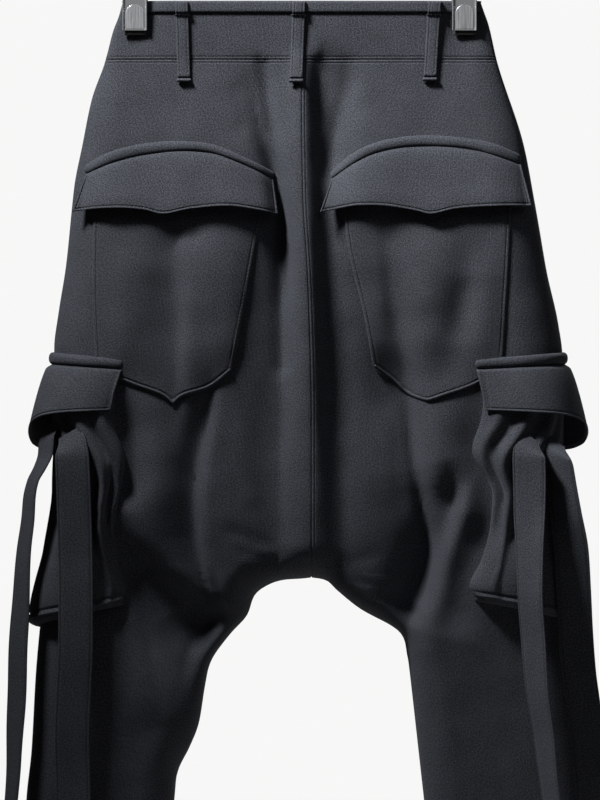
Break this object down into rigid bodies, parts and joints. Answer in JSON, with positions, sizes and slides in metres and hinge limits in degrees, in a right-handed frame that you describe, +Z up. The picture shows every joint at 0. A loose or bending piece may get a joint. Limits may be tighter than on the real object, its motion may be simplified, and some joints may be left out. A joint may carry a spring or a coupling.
{
  "type": "harem pants on a clip hanger",
  "caption": "Heavy knit harem trousers with a low crotch, arched flap pockets, side cargo pockets and hanging straps, clipped by the waistband to a steel hanger.",
  "frame": {"origin": "inner top of the hanger's hook, where it hangs on a rail", "axes": "+Z up; the back of the trousers, which the picture shows, faces -Y; +X is to the right seen from behind"},
  "size_m": [0.674, 0.1682, 1.1439],
  "materials": {
    "cloth": "matte heavy double knit, charcoal black",
    "button": "satin",
    "steel": "bright zinc plate",
    "rubber": "matte"
  },
  "bodies": {
    "root": {"back_left": "cloth", "back_right": "cloth", "front_left": "cloth", "front_right": "cloth", "waistband_back": "cloth", "waistband_front_left": "cloth", "waistband_front_right": "cloth", "binding_back": "cloth", "binding_front_left": "cloth", "binding_front_right": "cloth", "waistband_tab": "cloth", "fly_placket": "cloth", "belt_loop_back_left": "cloth", "belt_loop_back_centre": "cloth", "belt_loop_back_right": "cloth", "belt_loop_front_left": "cloth", "belt_loop_front_right": "cloth", "back_welt_left": "cloth", "back_pocket_left": "cloth", "back_flap_left": "cloth", "cargo_bag_left": "cloth", "cargo_welt_left": "cloth", "cargo_flap_left": "cloth", "strap_left_inner": "cloth", "strap_left_outer": "cloth", "back_welt_right": "cloth", "back_pocket_right": "cloth", "back_flap_right": "cloth", "cargo_bag_right": "cloth", "cargo_welt_right": "cloth", "cargo_flap_right": "cloth", "strap_right_inner": "cloth", "strap_right_outer": "cloth", "waist_button": "button", "hanger_rod": "steel", "hanger_hook": "steel", "clip_left": "steel", "clip_right": "steel", "clip_pad_left_back": "rubber", "clip_pad_left_front": "rubber", "clip_pad_right_back": "rubber", "clip_pad_right_front": "rubber"}
  },
  "joints": []
}
